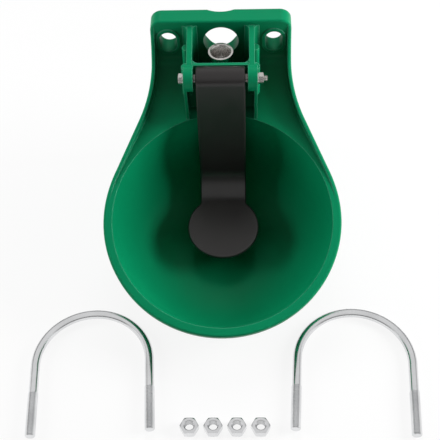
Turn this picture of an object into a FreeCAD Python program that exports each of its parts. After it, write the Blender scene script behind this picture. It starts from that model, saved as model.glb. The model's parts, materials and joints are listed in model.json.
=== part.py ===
import FreeCAD, Part
import Sketcher
import os
import re
from FreeCAD import Placement, Rotation, Vector
from math import cos, radians, sin, tan

# Livestock drinking bowl with a tongue valve, and its two clamp bolts with nuts.
# X runs to the right, Y runs back to the wall and Z runs up. The origin lies on the
# rear mounting face, midway between the two upper slots. All lengths are millimetres.

doc = FreeCAD.newDocument("DrinkingBowl")
sheet = doc.addObject("Spreadsheet::Sheet", "Sizes")

# Driving sizes, each written once
sizes = {
    # rim of the bowl, a circle in a plane that falls towards the animal
    "rim_tilt": 21.6,
    "rim_radius": 119.6,
    "rim_band": 9.0,
    "rim_lip": 8.0,
    "rim_round": 2.2,
    "rim_forward": 173.5,
    "rim_drop": 96.0,
    # basin below the rim: radius, depth, rearward shift and tilt of its rings
    "basin_wall": 4.0,
    "ring_one_radius": 106.0,
    "ring_one_depth": 26.0,
    "ring_one_shift": 9.4,
    "ring_one_tilt": 18.5,
    "ring_two_radius": 92.0,
    "ring_two_depth": 54.0,
    "ring_two_shift": 20.0,
    "ring_two_tilt": 13.0,
    "ring_three_radius": 62.0,
    "ring_three_depth": 72.5,
    "ring_three_shift": 28.0,
    "ring_three_tilt": 6.0,
    "floor_radius": 24.0,
    "floor_depth": 78.0,
    "floor_shift": 31.0,
    "floor_tilt": 2.0,
    "foot_radius": 50.0,
    "foot_wall": 5.0,
    "foot_height": 16.5,
    # neck between the bowl and the mounting plate
    "slot_border": 17.6,
    "flare_angle": 24.7,
    "waist_radius": 140.0,
    "cheek_wall": 4.0,
    "ramp_start": 37.0,
    "ramp_angle": 33.0,
    "ramp_blend": 200.0,
    "cheek_blend": 50.0,
    "skirt_depth": 60.0,
    "shelf_lift": 2.5,
    "shelf_slope": 27.0,
    "shelf_wall": 4.0,
    "shelf_blend": 12.0,
    # mounting plate
    "plate_depth": 18.0,
    "plate_top": 26.0,
    "plate_corner": 12.0,
    "plate_skin": 4.5,
    "plate_edge": 5.0,
    "plate_spine": 17.0,
    "slot_spacing": 108.0,
    "slot_width": 17.6,
    "slot_height": 25.0,
    "slot_ring": 3.5,
    "slot_ring_lift": 1.0,
    "lower_slot_drop": 130.0,
    "centre_hole": 36.0,
    "saddle_radius": 30.0,
    "saddle_depth": 3.3,
    # ribs, ears and cross web that carry the tongue and the valve
    "rib_inner": 28.5,
    "rib_wall": 5.5,
    "rib_rear_drop": 3.0,
    "pad_radius": 5.0,
    "pad_back": 37.0,
    "ear_inner": 27.0,
    "ear_outer": 36.5,
    "ear_radius": 12.5,
    "ear_wall": 3.2,
    "web_forward": 63.3,
    "web_wall": 3.6,
    "web_top": 8.6,
    "well_floor_drop": 60.0,
    # tongue
    "pivot_forward": 75.9,
    "pivot_lift": 2.5,
    "hub_radius": 12.0,
    "tongue_width": 49.0,
    "tongue_wall": 5.0,
    "tongue_lean": 3.0,
    "tongue_bend": 26.0,
    "tongue_edge": 2.0,
    "tongue_shoulder": 6.0,
    "hub_blend": 4.0,
    "disc_radius": 37.5,
    "disc_forward": 148.4,
    "disc_drop": 140.5,
    "disc_tilt": 7.0,
    "push_radius": 6.0,
    # pivot
    "sleeve_radius": 5.0,
    "sleeve_bore": 3.15,
    "running_gap": 0.05,
    "pivot_bolt_radius": 3.0,
    "pivot_hex": 10.0,
    "pivot_head": 4.0,
    "pivot_nut_height": 5.0,
    "pivot_end": 3.5,
    "pivot_washer_radius": 6.0,
    "pivot_washer": 1.0,
    # valve
    "nut_over_shelf": 0.7,
    "inlet_back": 43.3,
    "inlet_top": 8.9,
    "inlet_radius": 12.6,
    "inlet_bore": 9.3,
    "inlet_depth": 17.5,
    "feed_bore": 6.0,
    "barrel_radius": 13.0,
    "barrel_length": 28.0,
    "flange_radius": 16.5,
    "flange_wall": 4.0,
    "chamber_bore": 8.5,
    "chamber_front": 6.5,
    "stub_radius": 10.0,
    "stub_gap": 0.3,
    "stub_length": 15.0,
    "nozzle_bore": 5.5,
    "gasket_wall": 1.5,
    "lock_nut_hex": 27.0,
    "lock_nut_height": 7.0,
    "seat_wall": 3.0,
    "seat_outer": 7.5,
    "seat_bore": 4.6,
    "guide_wall": 3.0,
    "stem_radius": 2.5,
    "stem_reach": 8.0,
    "stem_head_radius": 6.5,
    "stem_head": 2.0,
    "stem_tail": 4.5,
    "stem_tail_radius": 1.6,
    "seal_radius": 7.2,
    "seal_wall": 2.5,
    "push_gap": 0.3,
    "cap_hex": 22.0,
    "cap_height": 5.0,
    "cap_plug": 4.0,
    "cap_ring_wall": 1.2,
    "spring_radius": 4.6,
    "spring_wire": 0.45,
    "spring_turns": 4.0,
    "strainer_rim": 1.2,
    "strainer_rim_radius": 8.0,
    "strainer_wall": 0.7,
    "strainer_length": 9.0,
    # clamp bolts and nuts that lie in front of the bowl
    "clamp_radius": 57.0,
    "clamp_rod": 4.45,
    "clamp_thread": 4.95,
    "clamp_leg": 76.0,
    "clamp_thread_length": 46.0,
    "clamp_side": 130.8,
    "clamp_forward": 289.6,
    "clamp_turn": 3.5,
    "nut_hex": 16.0,
    "nut_height": 8.4,
    "nut_bore": 4.3,
    "nut_pitch": 22.7,
    "nut_side": 2.2,
    "nut_forward": 359.2,
}
# Sizes that follow from others
follows = {
    "neck_half": "slot_spacing / 2 + slot_border",
    "foot_drop": "rim_drop + ring_three_depth + foot_height",
    "shelf_y": "( rim_radius - rim_band ) * cos(rim_tilt * 1 deg) - shelf_lift * sin(rim_tilt * 1 deg)"
               " - rim_forward",
    "shelf_z": "( rim_radius - rim_band ) * sin(rim_tilt * 1 deg) + shelf_lift * cos(rim_tilt * 1 deg)"
               " - rim_drop",
    "valve_drop": "( web_forward + shelf_y ) * tan(shelf_slope * 1 deg) - shelf_z"
                  " - lock_nut_hex / 2 - nut_over_shelf",
}
for row, (alias, value) in enumerate((sizes | follows).items(), start=1):
    sheet.set("A%d" % row, alias)
    sheet.setAlias("B%d" % row, alias)
    sheet.set("B%d" % row, str(value) if alias in sizes else "=" + value)
doc.recompute()
now = {alias: float(sheet.get(alias)) for alias in sizes | follows}


def cell(text):
    """Turns words that name sizes into an expression on the sheet."""
    return re.sub("[a-z_]+", lambda word: "Sizes." + word[0] if word[0] in now else word[0], text)


def bind(thing, **bindings):
    """Binds properties of a thing to the sheet; a double underscore stands for a dot."""
    for name, text in bindings.items():
        thing.setExpression(name.replace("__", "."), cell(text))
    return thing


def seat(thing, x="0", y="0", z="0"):
    """Places a thing by expressions on the sheet."""
    return bind(thing, Placement__Base__x=x, Placement__Base__y=y, Placement__Base__z=z)


def turn(thing, axis, angle):
    """Turns a thing about an axis through its own base point."""
    thing.Placement = Placement(thing.Placement.Base, Rotation(axis, 1.0))
    return bind(thing, Placement__Rotation__Angle=angle)


def box(name, length, width, height, x="0", y="0", z="0"):
    solid = doc.addObject("Part::Box", name)
    bind(solid, Length=length, Width=width, Height=height)
    return seat(solid, x, y, z)


def rod(name, radius, height, axis="Z", x="0", y="0", z="0"):
    """A cylinder that starts at a point and runs along +X, +Y or +Z."""
    solid = doc.addObject("Part::Cylinder", name)
    bind(solid, Radius=radius, Height=height)
    lay(solid, axis)
    return seat(solid, x, y, z)


def lay(solid, axis):
    """Lays a solid that was made along Z onto another axis."""
    if axis == "Y":
        solid.Placement = Placement(Vector(), Rotation(Vector(1, 0, 0), -90))
    if axis == "X":
        solid.Placement = Placement(Vector(), Rotation(Vector(0, 1, 0), 90))


def hexagon(name, across, height, axis="Z", x="0", y="0", z="0"):
    """A hexagonal prism, given by its width across flats."""
    solid = doc.addObject("Part::Prism", name)
    solid.Polygon = 6
    bind(solid, Circumradius=across + " / 2 / cos(30 deg)", Height=height)
    lay(solid, axis)
    return seat(solid, x, y, z)


def fuse(name, parts):
    solid = doc.addObject("Part::MultiFuse", name)
    solid.Shapes = parts
    solid.Refine = True
    return solid


def cut(name, base, tool):
    solid = doc.addObject("Part::Cut", name)
    solid.Base = base
    solid.Tool = tool
    solid.Refine = True
    return solid


def common(name, parts):
    solid = doc.addObject("Part::MultiCommon", name)
    solid.Shapes = parts
    return solid


def label(solid, name):
    """Gives a finished sub-part its name."""
    solid.Label = name
    return solid


def plane_of(body, role):
    for feature in body.Origin.OriginFeatures:
        if feature.Role == role:
            return feature


def polygon_body(name, role, corners, depth, start="0"):
    """A body padded from a closed polygon whose corners are pairs of expressions."""
    body = doc.addObject("PartDesign::Body", name)
    sketch = body.newObject("Sketcher::SketchObject", name + "_sketch")
    sketch.AttachmentSupport = [(plane_of(body, role), "")]
    sketch.MapMode = "FlatFace"
    bind(sketch, AttachmentOffset__Base__z=start)
    count = len(corners)
    rough = [Vector(50 * cos(radians(360 * i / count)), 50 * sin(radians(360 * i / count)), 0)
             for i in range(count)]
    for i in range(count):
        sketch.addGeometry(Part.LineSegment(rough[i], rough[(i + 1) % count]))
    for i in range(count):
        sketch.addConstraint(Sketcher.Constraint("Coincident", i, 2, (i + 1) % count, 1))
    for i, (across, along) in enumerate(corners):
        for kind, text in (("DistanceX", across), ("DistanceY", along)):
            number = sketch.addConstraint(Sketcher.Constraint(kind, -1, 1, i, 1, 1.0))
            sketch.renameConstraint(number, "%s%d" % (kind, i))
            sketch.setExpression("Constraints.%s%d" % (kind, i), cell(text))
    pad = body.newObject("PartDesign::Pad", name + "_pad")
    pad.Profile = sketch
    bind(pad, Length=depth)
    body.Tip = pad
    doc.recompute()
    return body


def upright_edges(shape, test):
    """Names the straight edges along the pad direction whose middle passes a test."""
    names = []
    for number, edge in enumerate(shape.Edges, start=1):
        if edge.Curve.TypeId == "Part::GeomLine" and test(edge):
            names.append("Edge%d" % number)
    return names


def round_edges(body, name, radius, test):
    """Rounds the edges of a body's tip that pass a test."""
    tip = body.Tip
    fillet = body.newObject("PartDesign::Fillet", name)
    fillet.Base = (tip, upright_edges(tip.Shape, test))
    bind(fillet, Radius=radius)
    body.Tip = fillet
    doc.recompute()
    return body


def edge_names(shape, test):
    """Names the edges whose two faces pass a test on edge and outward normals."""
    names = []
    for number, edge in enumerate(shape.Edges, start=1):
        middle = edge.valueAt((edge.FirstParameter + edge.LastParameter) / 2)
        normals = []
        for face in shape.ancestorsOfType(edge, Part.Face):
            u, v = face.Surface.parameter(middle)
            normals.append(face.normalAt(u, v))
        if len(normals) == 2 and test(middle, edge, *normals):
            names.append("Edge%d" % number)
    return names


def soften(name, base, radius, test):
    """Rounds the edges of a solid that pass a test."""
    body = doc.addObject("PartDesign::Body", name)
    body.BaseFeature = base
    doc.recompute()
    fillet = body.newObject("PartDesign::Fillet", name + "_round")
    fillet.Base = (body.BaseFeature and body.Group[0], edge_names(base.Shape, test))
    bind(fillet, Radius=radius)
    body.Tip = fillet
    doc.recompute()
    return body


# Points on the tilted rim plane: along it to the rear, and lifted off it


def tilted_y(along, lift="0"):
    return "( 0 - rim_forward + ( %s ) * cos(rim_tilt * 1 deg) - ( %s ) * sin(rim_tilt * 1 deg) )" % (along, lift)


def tilted_z(along, lift="0"):
    return "( 0 - rim_drop + ( %s ) * sin(rim_tilt * 1 deg) + ( %s ) * cos(rim_tilt * 1 deg) )" % (along, lift)


def tilt(solid, lift="0"):
    """Puts a solid made about Z on the axis of the tilted rim."""
    turn(solid, Vector(1, 0, 0), "rim_tilt * 1 deg")
    return seat(solid, "0", tilted_y("0", lift), tilted_z("0", lift))


# Plan of the rim: a circle, tangent flanks and a parallel neck


def plan(name, inset, low, high):
    """The rim's plan, moved in by an inset, as an upright solid on the tilted axis."""
    radius = "( rim_radius - %s )" % inset
    half = "( neck_half - %s )" % inset
    side = "( %s * cos(flare_angle * 1 deg) )" % radius
    start = "( %s * sin(flare_angle * 1 deg) )" % radius
    corner = "( %s + ( %s - %s ) / tan(flare_angle * 1 deg) )" % (start, side, half)
    end = "( rim_forward * 1.3 )"
    corners = [(side, start), (half, corner), (half, end),
               ("0 - " + half, end), ("0 - " + half, corner), ("0 - " + side, start)]
    height = "( %s + %s )" % (high, low)
    neck = polygon_body(name + "_neck", "XY_Plane", corners, height, "0 - ( %s )" % low)
    middle = now["neck_half"] - now.get(inset, 0.0)
    ends = now["rim_forward"] * 1.2
    round_edges(neck, name + "_waist", "waist_radius + " + inset,
                lambda edge: abs(abs(edge.CenterOfMass.x) - middle) < 0.01
                and edge.CenterOfMass.y < ends
                and abs(edge.tangentAt(edge.FirstParameter).z) > 0.9)
    tilt(neck)
    disc = rod(name + "_disc", radius, height)
    tilt(disc, "0 - ( %s )" % low)
    return neck, disc


outer_neck, outer_disc = plan("outer", "0", "skirt_depth", "skirt_depth")
bind(outer_disc, Height="skirt_depth + rim_lip")
tilt(outer_disc, "0 - rim_lip")
inner_neck, inner_disc = plan("inner", "cheek_wall", "skirt_depth", "skirt_depth")
tilt(inner_disc, "0")
hollow_neck, hollow_disc = plan("hollow", "cheek_wall", "skirt_depth + 20", "skirt_depth")
doc.removeObject(hollow_disc.Name)

# Side view of the neck: the rim plane, a steeper ramp and the front of the plate


def side_body(name, corners):
    """A wide solid with a side view given in Y and Z."""
    body = polygon_body(name, "YZ_Plane", corners, "rim_radius * 2.4", "0 - rim_radius * 1.2")
    return body


ramp_y = tilted_y("ramp_start")
ramp_z = tilted_z("ramp_start")
ramp_end = "( %s + ( 0 - plate_depth - %s ) * tan(ramp_angle * 1 deg) )" % (ramp_z, ramp_y)
front = "0 - rim_radius * 1.3"
side_corners = [(tilted_y(front), tilted_z(front)), (ramp_y, ramp_z), ("0 - plate_depth", ramp_end),
                ("0 - plate_depth", "plate_top"), ("0 - plate_depth / 2", "plate_top"),
                ("0 - plate_depth / 2", "0 - foot_drop"), (tilted_y(front), "0 - foot_drop")]
side = side_body("side", side_corners)
bends = [(now["rim_drop"], "ramp_blend"), (0, "cheek_blend")]
tilt_now = radians(now["rim_tilt"])
ramp_y_now = -now["rim_forward"] + now["ramp_start"] * cos(tilt_now)
ramp_z_now = -now["rim_drop"] + now["ramp_start"] * sin(tilt_now)
ramp_end_now = ramp_z_now + (-now["plate_depth"] - ramp_y_now) * tan(radians(now["ramp_angle"]))


def near(y, z):
    return lambda edge: abs(edge.CenterOfMass.y - y) < 0.05 and abs(edge.CenterOfMass.z - z) < 0.05


round_edges(side, "side_ramp_bend", "ramp_blend", near(ramp_y_now, ramp_z_now))
round_edges(side, "side_plate_bend", "cheek_blend", near(-now["plate_depth"], ramp_end_now))

rim_block = common("rim_block", [fuse("outer_plan", [outer_neck, outer_disc]), side])

# Room above the shelf, open at the top
shelf_end = "( shelf_z + ( 0 - plate_depth - shelf_y ) * tan(shelf_slope * 1 deg) )"
lift_start = "ramp_start"
room_corners = [(tilted_y(front), tilted_z(front)), (tilted_y(lift_start), tilted_z(lift_start)),
                ("shelf_y", "shelf_z"), ("0 - plate_depth", shelf_end),
                ("0 - plate_depth", "plate_top + 60"), (tilted_y(front), "plate_top + 60")]
room = side_body("room", room_corners)
shelf_end_now = now["shelf_z"] - (now["plate_depth"] + now["shelf_y"]) * tan(radians(now["shelf_slope"]))
round_edges(room, "room_bend", "shelf_blend", near(-now["plate_depth"], shelf_end_now))
top_room = common("top_room", [fuse("inner_plan", [inner_neck, inner_disc]), room])

# Basin: lofted through rings whose tilt eases from the rim down to a level floor
rings = [("rim_radius - rim_band", "0", "0", "rim_tilt"),
         ("ring_one_radius", "ring_one_depth", "ring_one_shift", "ring_one_tilt"),
         ("ring_two_radius", "ring_two_depth", "ring_two_shift", "ring_two_tilt"),
         ("ring_three_radius", "ring_three_depth", "ring_three_shift", "ring_three_tilt"),
         ("floor_radius", "floor_depth", "floor_shift", "floor_tilt")]


def basin(name, wall):
    """The basin's loft; a wall makes it larger all round and deeper."""
    sections = []
    last = len(rings) - 1
    for number, (radius, depth, shift, angle) in enumerate(rings):
        ring = doc.addObject("Part::Circle", "%s_ring_%d" % (name, number))
        bind(ring, Radius="%s + %s" % (radius, wall))
        turn(ring, Vector(1, 0, 0), angle + " * 1 deg")
        below = wall if number == last else "%s * %s / %s" % (wall, number, last)
        seat(ring, "0", "%s - rim_forward" % shift, "0 - rim_drop - %s - %s" % (depth, below))
        sections.append(ring)
    loft = doc.addObject("Part::Loft", name)
    loft.Sections = sections
    loft.Solid = True
    loft.Ruled = False
    return loft


basin_outside = basin("basin_outside", "basin_wall")
basin_inside = basin("basin_inside", "0")
basin_mouth = rod("basin_mouth", "rim_radius - rim_band", "shelf_lift * 3")
tilt(basin_mouth)

foot_y = "floor_shift - rim_forward"
foot_outer = rod("foot_outer", "foot_radius", "foot_height", "Z", "0", foot_y, "0 - foot_drop")
foot_inner = rod("foot_inner", "foot_radius - foot_wall", "foot_height", "Z", "0", foot_y, "0 - foot_drop")
foot_ring = cut("foot_ring", foot_outer, foot_inner)

# Mounting plate with rounded corners, and the corners of the cheeks that follow it


def plate_form(name, depth):
    form = polygon_body(name, "XZ_Plane",
                        [("neck_half", "plate_top"), ("0 - neck_half", "plate_top"),
                         ("0 - neck_half", "0 - foot_drop"), ("neck_half", "0 - foot_drop")], depth)
    return round_edges(form, name + "_corners", "plate_corner",
                       lambda edge: abs(edge.tangentAt(edge.FirstParameter).y) > 0.9)


plate = plate_form("plate", "plate_depth")
corner_room = cut("corner_room", box("corner_block", "neck_half * 3", "plate_depth * 2", "plate_corner * 2",
                                     "0 - neck_half * 1.5", "0 - plate_depth * 2", "plate_top - plate_corner"),
                  plate_form("corner_form", "plate_depth * 2"))
doc.recompute()
rim_up = Vector(0, -sin(tilt_now), cos(tilt_now))


def is_top(normal):
    return abs(normal.x) < 0.02 and normal.dot(rim_up) > 0.3


def is_wall(normal):
    return abs(normal.dot(rim_up)) < 0.02 or abs(normal.x) > 0.05


def outline_edge(middle, edge, first, second):
    """The edges round the top of the rim, the cheeks and the plate."""
    if middle.z > 0.9 * now["plate_top"] and min(first.y, second.y) < -0.99:
        return max(first.z, second.z) > 0.99 or max(abs(first.x), abs(second.x)) > 0.05
    if middle.z < -now["rim_drop"] and middle.y > -now["web_forward"]:
        return False
    return (is_top(first) and is_wall(second)) or (is_top(second) and is_wall(first))


outer_form = fuse("outer_form", [cut("cornered_block", rim_block, corner_room), plate])
doc.recompute()
rounded_form = soften("rounded_form", outer_form, "rim_round", outline_edge)


def slot(name, x, z, grow, y, depth):
    """An upright slot with round ends."""
    half = "( slot_width / 2 + %s )" % grow
    rise = "( slot_height / 2 - slot_width / 2 )"
    low = rod(name + "_low", half, depth, "Y", x, y, "%s - %s" % (z, rise))
    high = rod(name + "_high", half, depth, "Y", x, y, "%s + %s" % (z, rise))
    middle = box(name + "_middle", half + " * 2", depth, rise + " * 2",
                 "%s - %s" % (x, half), y, "%s - %s" % (z, rise))
    return [low, high, middle]


holes = []
rings_round_slots = []
for side_name, side_x in (("left", "0 - slot_spacing / 2"), ("right", "slot_spacing / 2")):
    for level, drop in (("upper", "0"), ("lower", "0 - lower_slot_drop")):
        name = "slot_%s_%s" % (level, side_name)
        holes += slot(name, side_x, drop, "0", "0 - plate_depth * 1.5", "plate_depth * 2")
    rings_round_slots += slot("slot_ring_" + side_name, side_x, "0", "slot_ring",
                              "0 - plate_depth - slot_ring_lift", "plate_depth / 2")
holes.append(rod("centre_hole_tool", "centre_hole / 2", "plate_depth * 2", "Y",
                 "0", "0 - plate_depth * 1.5", "0"))
holes.append(rod("saddle_tool", "saddle_radius", "foot_drop * 2", "Z",
                 "0", "saddle_radius - saddle_depth", "0 - foot_drop * 1.2"))

# Pockets in the rear of the plate, which leave a rim, a spine and rings round the holes
core_inner = "plate_spine"
core_outer = "neck_half - plate_edge"
slot_reach = "slot_height / 2 + plate_edge"
cores = [("upper", core_inner, core_outer, "lower_slot_drop - ( %s )" % slot_reach, slot_reach),
         ("lower", core_inner, core_outer, "foot_drop - plate_edge", "lower_slot_drop + " + slot_reach)]
for name, inner, outer, low, high in cores:
    for side_name, left in (("left", "0 - ( %s )" % outer), ("right", inner)):
        holes.append(box("core_%s_%s" % (name, side_name), "( %s ) - ( %s )" % (outer, inner), "plate_depth",
                         "( %s ) - ( %s )" % (low, high), left, "0 - plate_depth + plate_skin",
                         "0 - ( %s )" % low))

# Ribs and thin walls from the plate to the ears
ear_y = "0 - pivot_forward"
ear_z = "pivot_lift"
rib_corners = [("0 - plate_depth / 2", "plate_top - rib_rear_drop"),
               ("0 - web_forward", "web_top"),
               ("0 - web_forward", "0 - well_floor_drop - shelf_wall"),
               ("0 - plate_depth / 2", "0 - well_floor_drop - shelf_wall")]
wall_bottom_y = tilted_y("( rim_radius - rim_band ) * 0.96", "0")
wall_bottom_z = tilted_z("( rim_radius - rim_band ) * 0.96", "0")
wall_corners = [("0 - pivot_forward", "web_top - pad_radius"),
                ("0 - pivot_forward - ear_radius", ear_z),
                (wall_bottom_y, wall_bottom_z),
                ("0 - web_forward", "0 - well_floor_drop"),
                ("0 - web_forward", "web_top")]
braces = []
for name, sign in (("left", "0 - "), ("right", "")):
    rib_x = "0 - rib_inner - rib_wall" if name == "left" else "rib_inner"
    wall_x = "0 - ear_outer" if name == "left" else "ear_outer - ear_wall"
    ear_x = "0 - ear_outer" if name == "left" else "ear_inner"
    braces.append(polygon_body("rib_" + name, "YZ_Plane", rib_corners, "rib_wall", rib_x))
    braces.append(polygon_body("ear_wall_" + name, "YZ_Plane", wall_corners, "ear_wall", wall_x))
    braces.append(rod("ear_" + name, "ear_radius", "ear_outer - ear_inner", "X", ear_x, ear_y, ear_z))
    braces.append(box("ear_arm_" + name, "ear_outer - ear_inner", "pivot_forward - web_forward + web_wall",
                      "ear_radius + web_top - pivot_lift", ear_x, ear_y, ear_z + " - ear_radius"))
    for number, back in enumerate(("pad_back", "web_forward - web_wall / 2")):
        pad_x = sign + "( rib_inner + rib_wall )"
        braces.append(rod("pad_%s_%d" % (name, number), "pad_radius", "plate_top + web_top", "Z",
                          pad_x, "0 - " + back, "0 - plate_top"))
web = box("web", "rib_inner * 2 + rib_wall", "web_wall", "web_top + well_floor_drop + shelf_wall",
          "0 - rib_inner - rib_wall / 2", "0 - web_forward", "0 - well_floor_drop - shelf_wall")
braces.append(web)
well_floor = box("well_floor", "( rib_inner + rib_wall ) * 2", "web_forward - plate_depth / 2", "shelf_wall",
                 "0 - rib_inner - rib_wall", "0 - web_forward", "0 - well_floor_drop - shelf_wall")
well = box("well", "rib_inner * 2", "web_forward - web_wall - plate_depth", "plate_top + well_floor_drop + 40",
           "0 - rib_inner", "web_wall - web_forward", "0 - well_floor_drop")

# Room under the shelf, open below
under_corners = [(tilted_y("0"), tilted_z("0", "0 - rim_lip")),
                 (tilted_y("rim_radius - rim_band", "0 - shelf_wall"), tilted_z("rim_radius - rim_band", "0 - shelf_wall")),
                 ("0 - plate_depth", shelf_end + " - shelf_wall"),
                 ("0 - plate_depth", "0 - foot_drop"), (tilted_y("0"), "0 - foot_drop")]
under = side_body("under", under_corners)
under_room = cut("under_room", common("under_plan", [hollow_neck, under]), basin_outside)

# Bowl body put together
shell = cut("shell", rounded_form, top_room)
solid_body = fuse("solid_body", [shell, basin_outside, foot_ring] + rings_round_slots)
hollowed = cut("hollowed", solid_body, under_room)
braced = fuse("braced", [hollowed, well_floor] + braces)
pivot_hole = rod("pivot_hole", "pivot_bolt_radius + stub_gap / 2", "ear_outer * 3", "X",
                 "0 - ear_outer * 1.5", ear_y, ear_z)
stub_hole = rod("stub_hole", "stub_radius + stub_gap", "web_wall * 3", "Y",
                "0", "0 - web_forward - web_wall", "0 - valve_drop")
tools = fuse("body_tools", [basin_inside, basin_mouth, well, pivot_hole, stub_hole] + holes)
bowl_body = label(cut("bowl_body", braced, tools), "bowl_body")

# Tongue: a hub, a leaning blade that bends forward, and a round disc
lean = "tongue_lean * 1 deg"
disc_turn = "disc_tilt * 1 deg"


def blade_line(inset):
    """A point on the hub where the blade starts, moved in from the front face."""
    across = "( 0 - pivot_forward - ( hub_radius - %s ) * cos(%s) )" % (inset, lean)
    along = "( pivot_lift + ( hub_radius - %s ) * sin(%s) )" % (inset, lean)
    return across, along


def disc_point(depth):
    """The middle of the disc, a depth below its upper face."""
    across = "( 0 - disc_forward + %s * sin(%s) )" % (depth, disc_turn)
    along = "( 0 - disc_drop - %s * cos(%s) )" % (depth, disc_turn)
    return across, along


def bend_point(inset):
    """Where a blade line meets the disc plane at the same depth."""
    start_y, start_z = blade_line(inset)
    disc_y, disc_z = disc_point(inset)
    run = "( ( ( %s - %s ) * cos(%s) - ( %s - %s ) * sin(%s) ) / cos(( tongue_lean + disc_tilt ) * 1 deg) )" % (
        start_z, disc_z, disc_turn, start_y, disc_y, disc_turn)
    return "( %s - %s * sin(%s) )" % (start_y, run, lean), "( %s - %s * cos(%s) )" % (start_z, run, lean)


blade_corners = [blade_line("0"), bend_point("0"), disc_point("0"),
                 disc_point("tongue_wall"), bend_point("tongue_wall"), blade_line("tongue_wall")]
blade = polygon_body("blade", "YZ_Plane", blade_corners, "tongue_width", "0 - tongue_width / 2")


def corner_edge(body, number):
    """The edge that runs along X from a corner of a body's side sketch."""
    start = body.Tip.Profile[0].Geometry[number].StartPoint
    return near(start.x, start.y)


front_bend = corner_edge(blade, 1)
rear_bend = corner_edge(blade, 4)
round_edges(blade, "blade_front_bend", "tongue_bend", front_bend)
round_edges(blade, "blade_rear_bend", "tongue_bend + tongue_wall", rear_bend)
hub = rod("hub", "hub_radius", "tongue_width", "X", "0 - tongue_width / 2", ear_y, ear_z)
disc = rod("disc", "disc_radius", "tongue_wall")
turn(disc, Vector(1, 0, 0), disc_turn)
seat(disc, "0", *disc_point("tongue_wall"))
disc_front = cut("disc_front", disc, box("disc_behind", "tongue_width", "disc_forward", "disc_drop",
                                         "0 - tongue_width / 2", "disc_radius / 2 - disc_forward",
                                         "0 - disc_drop * 1.5"))
flange_y = "( web_wall - web_forward + gasket_wall )"
stub_end = "( %s - stub_length )" % flange_y
stem_tip = "( %s - stem_reach )" % stub_end
pad_start = "( %s - ( %s + valve_drop ) * tan(%s) + tongue_wall / 2 )" % (*blade_line("0"), lean)
push_pad = rod("push_pad", "push_radius", "%s - push_gap - %s" % (stem_tip, pad_start), "Y",
               "0", pad_start, "0 - valve_drop")
hub_bore = rod("hub_bore", "sleeve_radius + running_gap", "tongue_width * 2", "X",
               "0 - tongue_width", ear_y, ear_z)
doc.recompute()
disc_up = Vector(0, -sin(radians(now["disc_tilt"])), cos(radians(now["disc_tilt"])))


def shoulder_edge(middle, edge, first, second):
    """The upright edges where the blade's sides run into the disc."""
    return (abs(edge.Length - now["tongue_wall"]) < 0.01 and abs(abs(middle.x) - now["tongue_width"] / 2) < 0.01
            and abs(edge.tangentAt(edge.FirstParameter).dot(disc_up)) > 0.99)


def face_edge(middle, edge, first, second):
    """The edges round the face that the animal presses."""
    for face, side in ((first, second), (second, first)):
        flank = abs(side.x) > 0.5 or (abs(side.dot(disc_up)) < 0.05 and face.dot(disc_up) > 0.99)
        if flank and abs(face.x) < 0.02 and face.z * 0.87 - face.y * 0.5 > 0.3:
            return True
    return False


def hub_edge(middle, edge, first, second):
    """The inner corner where the rear of the blade leaves the hub."""
    return (abs(middle.x) < 0.01 and abs(edge.Length - now["tongue_width"]) < 0.01
            and -2 * now["hub_radius"] < middle.z - now["pivot_lift"] < 0 and max(first.y, second.y) > 0.9)


tongue_solid = fuse("tongue_solid", [blade, hub, disc_front])
doc.recompute()
shouldered = soften("shouldered_tongue", tongue_solid, "tongue_shoulder", shoulder_edge)
blended = soften("blended_tongue", shouldered, "hub_blend", hub_edge)
rounded_tongue = soften("rounded_tongue", blended, "tongue_edge", face_edge)
tongue = label(cut("tongue", fuse("padded_tongue", [rounded_tongue, push_pad]), hub_bore), "tongue")


def ring(name, outer, inner, height, axis="Z", x="0", y="0", z="0"):
    """A flat ring or a tube."""
    return cut(name, rod(name + "_outer", outer, height, axis, x, y, z),
               rod(name + "_inner", inner, height, axis, x, y, z))


def group(name, members):
    """Separate alike solids that share one node."""
    bundle = doc.addObject("Part::Compound", name)
    bundle.Links = members
    return label(bundle, name)


# Pivot: a bolt through both ears, with a sleeve between them for the tongue to turn on
outside = "( ear_outer + pivot_washer )"
pivot_sleeve = label(ring("pivot_sleeve", "sleeve_radius", "sleeve_bore", "ear_inner * 2", "X",
                          "0 - ear_inner", ear_y, ear_z), "pivot_sleeve")
pivot_head = hexagon("pivot_head_hex", "pivot_hex", "pivot_head", "X",
                     "0 - %s - pivot_head" % outside, ear_y, ear_z)
pivot_shank = rod("pivot_shank", "pivot_bolt_radius", outside + " * 2 + pivot_nut_height + pivot_end", "X",
                  "0 - " + outside, ear_y, ear_z)
pivot_bolt = label(fuse("pivot_bolt", [pivot_head, pivot_shank]), "pivot_bolt")
pivot_nut = label(cut("pivot_nut", hexagon("pivot_nut_hex", "pivot_hex", "pivot_nut_height", "X",
                                           outside, ear_y, ear_z),
                      rod("pivot_nut_bore", "pivot_bolt_radius", "pivot_nut_height", "X",
                          outside, ear_y, ear_z)), "pivot_nut")
pivot_washers = group("pivot_washers", [
    ring("washer_" + name, "pivot_washer_radius", "pivot_bolt_radius + stub_gap / 2", "pivot_washer", "X",
         x, ear_y, ear_z)
    for name, x in (("left", "0 - " + outside), ("right", "ear_outer"))])

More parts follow.
